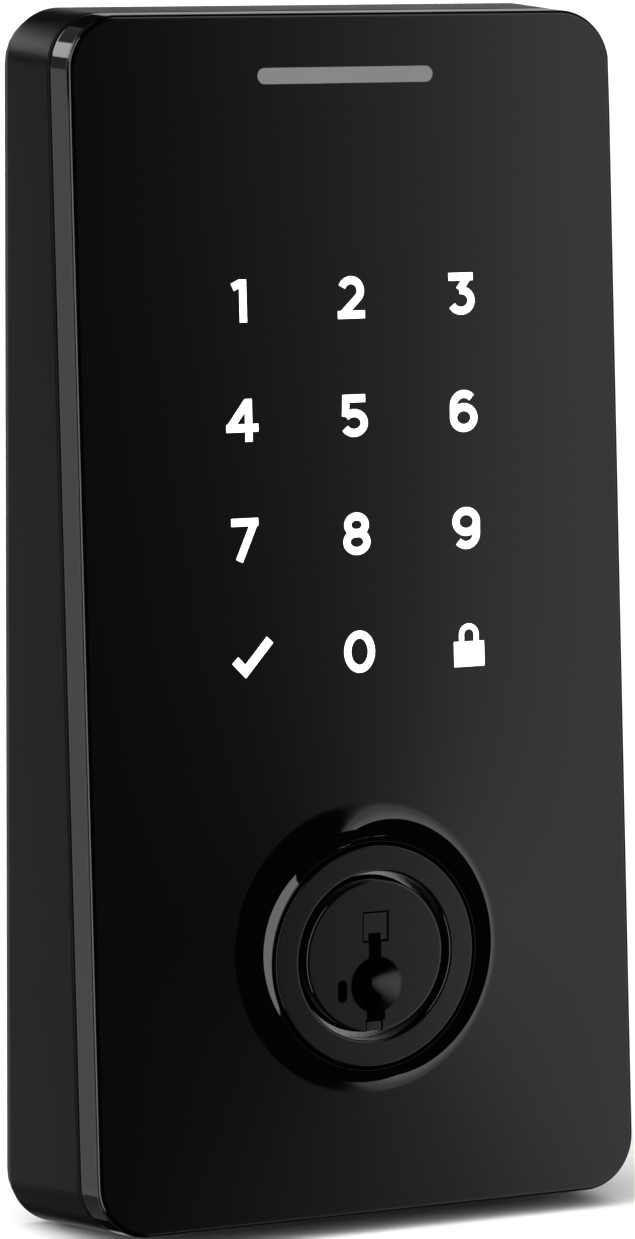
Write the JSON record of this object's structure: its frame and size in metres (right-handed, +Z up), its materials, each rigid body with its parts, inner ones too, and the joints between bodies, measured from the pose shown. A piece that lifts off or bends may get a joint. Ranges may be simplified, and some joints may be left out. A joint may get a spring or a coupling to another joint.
{
  "type": "keypad smart lock",
  "caption": "Outside unit of a touch keypad deadbolt: leaning black case with a backlit touch window above a recessed key cylinder, bolted through the door",
  "frame": {"origin": "where the key cylinder's axis meets the door's face", "axes": "+Z up, keypad faces -Y, +Y points into the door, +X to the right seen from in front"},
  "size_m": [0.0702, 0.0737, 0.1374],
  "materials": {
    "case": "satin black painted die casting",
    "bezel": "glossy black moulded rim",
    "lens": "glossy black touch window with backlit legends",
    "guard": "satin black plated steel ring",
    "plug": "satin black plated brass plug",
    "insert_steel": "dark hardened steel",
    "plate_steel": "zinc plated steel",
    "screw_steel": "bright zinc plated steel",
    "brass": "machined brass",
    "rubber": "black moulded rubber",
    "white_film": "white light mask and diffuser film",
    "board": "green circuit board",
    "chip": "black moulded plastic",
    "nylon": "natural nylon",
    "led": "white light-emitting diode package"
  },
  "bodies": {
    "escutcheon": {"rear_housing": "case", "front_bezel": "bezel", "touch_lens": "lens", "lens_gasket": "rubber", "rear_gasket": "rubber", "guard_seal": "rubber", "cable_grommet": "rubber", "diffuser_sheet": "white_film", "light_mask": "white_film", "touch_board": "board", "board_cover": "chip", "touch_chip": "chip", "main_chip": "chip", "buzzer": "chip", "harness_socket": "nylon", "rear_plate": "plate_steel", "cylinder_guard": "guard", "cylinder_body": "brass", "bolt_post_left": "plate_steel", "bolt_post_right": "plate_steel", "cylinder_screw_upper": "screw_steel", "cylinder_screw_lower": "screw_steel", "key_led_01": "led", "key_led_02": "led", "key_led_03": "led", "key_led_04": "led", "key_led_05": "led", "key_led_06": "led", "key_led_07": "led", "key_led_08": "led", "key_led_09": "led", "key_led_10": "led", "key_led_11": "led", "key_led_12": "led", "cover_screw_1": "screw_steel", "cover_screw_2": "screw_steel", "cover_screw_3": "screw_steel", "cover_screw_4": "screw_steel", "plate_screw_1": "screw_steel", "plate_screw_2": "screw_steel", "plate_screw_3": "screw_steel", "plate_screw_4": "screw_steel"},
    "plug": {"key_plug": "plug", "drill_guard": "insert_steel", "keyway_foot": "insert_steel", "plug_clip": "insert_steel", "pin_spring_1": "screw_steel", "pin_spring_2": "screw_steel", "pin_spring_3": "screw_steel", "pin_spring_4": "screw_steel", "pin_spring_5": "screw_steel"},
    "tail": {"tailpiece": "plate_steel"},
    "bar": {"side_bar": "brass"},
    "carrier": {"rekey_carrier": "insert_steel"},
    "pin_1": {"tumbler_pin_1": "brass"},
    "pin_2": {"tumbler_pin_2": "brass"},
    "pin_3": {"tumbler_pin_3": "brass"},
    "pin_4": {"tumbler_pin_4": "brass"},
    "pin_5": {"tumbler_pin_5": "brass"}
  },
  "joints": [
    {"name": "plug_turn", "type": "hinge", "parent": "escutcheon", "child": "plug", "pos_m": [0, -0.0237, 0], "axis": [0, 1, 0], "range_deg": [-90, 90]},
    {"name": "tail_swing", "type": "hinge", "parent": "plug", "child": "tail", "pos_m": [0, 0.0053, 0], "axis": [0, 1, 0], "range_deg": [-45, 45]},
    {"name": "bar_slide", "type": "slide", "parent": "plug", "child": "bar", "axis": [-1, 0, 0], "range_m": [0, 0.0009]},
    {"name": "rekey_slide", "type": "slide", "parent": "plug", "child": "carrier", "axis": [0, 1, 0], "range_m": [0, 0.0014]},
    {"name": "pin_1_lift", "type": "slide", "parent": "plug", "child": "pin_1", "axis": [0, 0, 1], "range_m": [0, 0.0024], "stiffness_N_per_m": 60, "springref_m": -0.0008, "deforming": ["pin_spring_1"]},
    {"name": "pin_2_lift", "type": "slide", "parent": "plug", "child": "pin_2", "axis": [0, 0, 1], "range_m": [0, 0.0024], "stiffness_N_per_m": 60, "springref_m": -0.0008, "deforming": ["pin_spring_2"]},
    {"name": "pin_3_lift", "type": "slide", "parent": "plug", "child": "pin_3", "axis": [0, 0, 1], "range_m": [0, 0.0024], "stiffness_N_per_m": 60, "springref_m": -0.0008, "deforming": ["pin_spring_3"]},
    {"name": "pin_4_lift", "type": "slide", "parent": "plug", "child": "pin_4", "axis": [0, 0, 1], "range_m": [0, 0.0024], "stiffness_N_per_m": 60, "springref_m": -0.0008, "deforming": ["pin_spring_4"]},
    {"name": "pin_5_lift", "type": "slide", "parent": "plug", "child": "pin_5", "axis": [0, 0, 1], "range_m": [0, 0.0024], "stiffness_N_per_m": 60, "springref_m": -0.0008, "deforming": ["pin_spring_5"]}
  ]
}
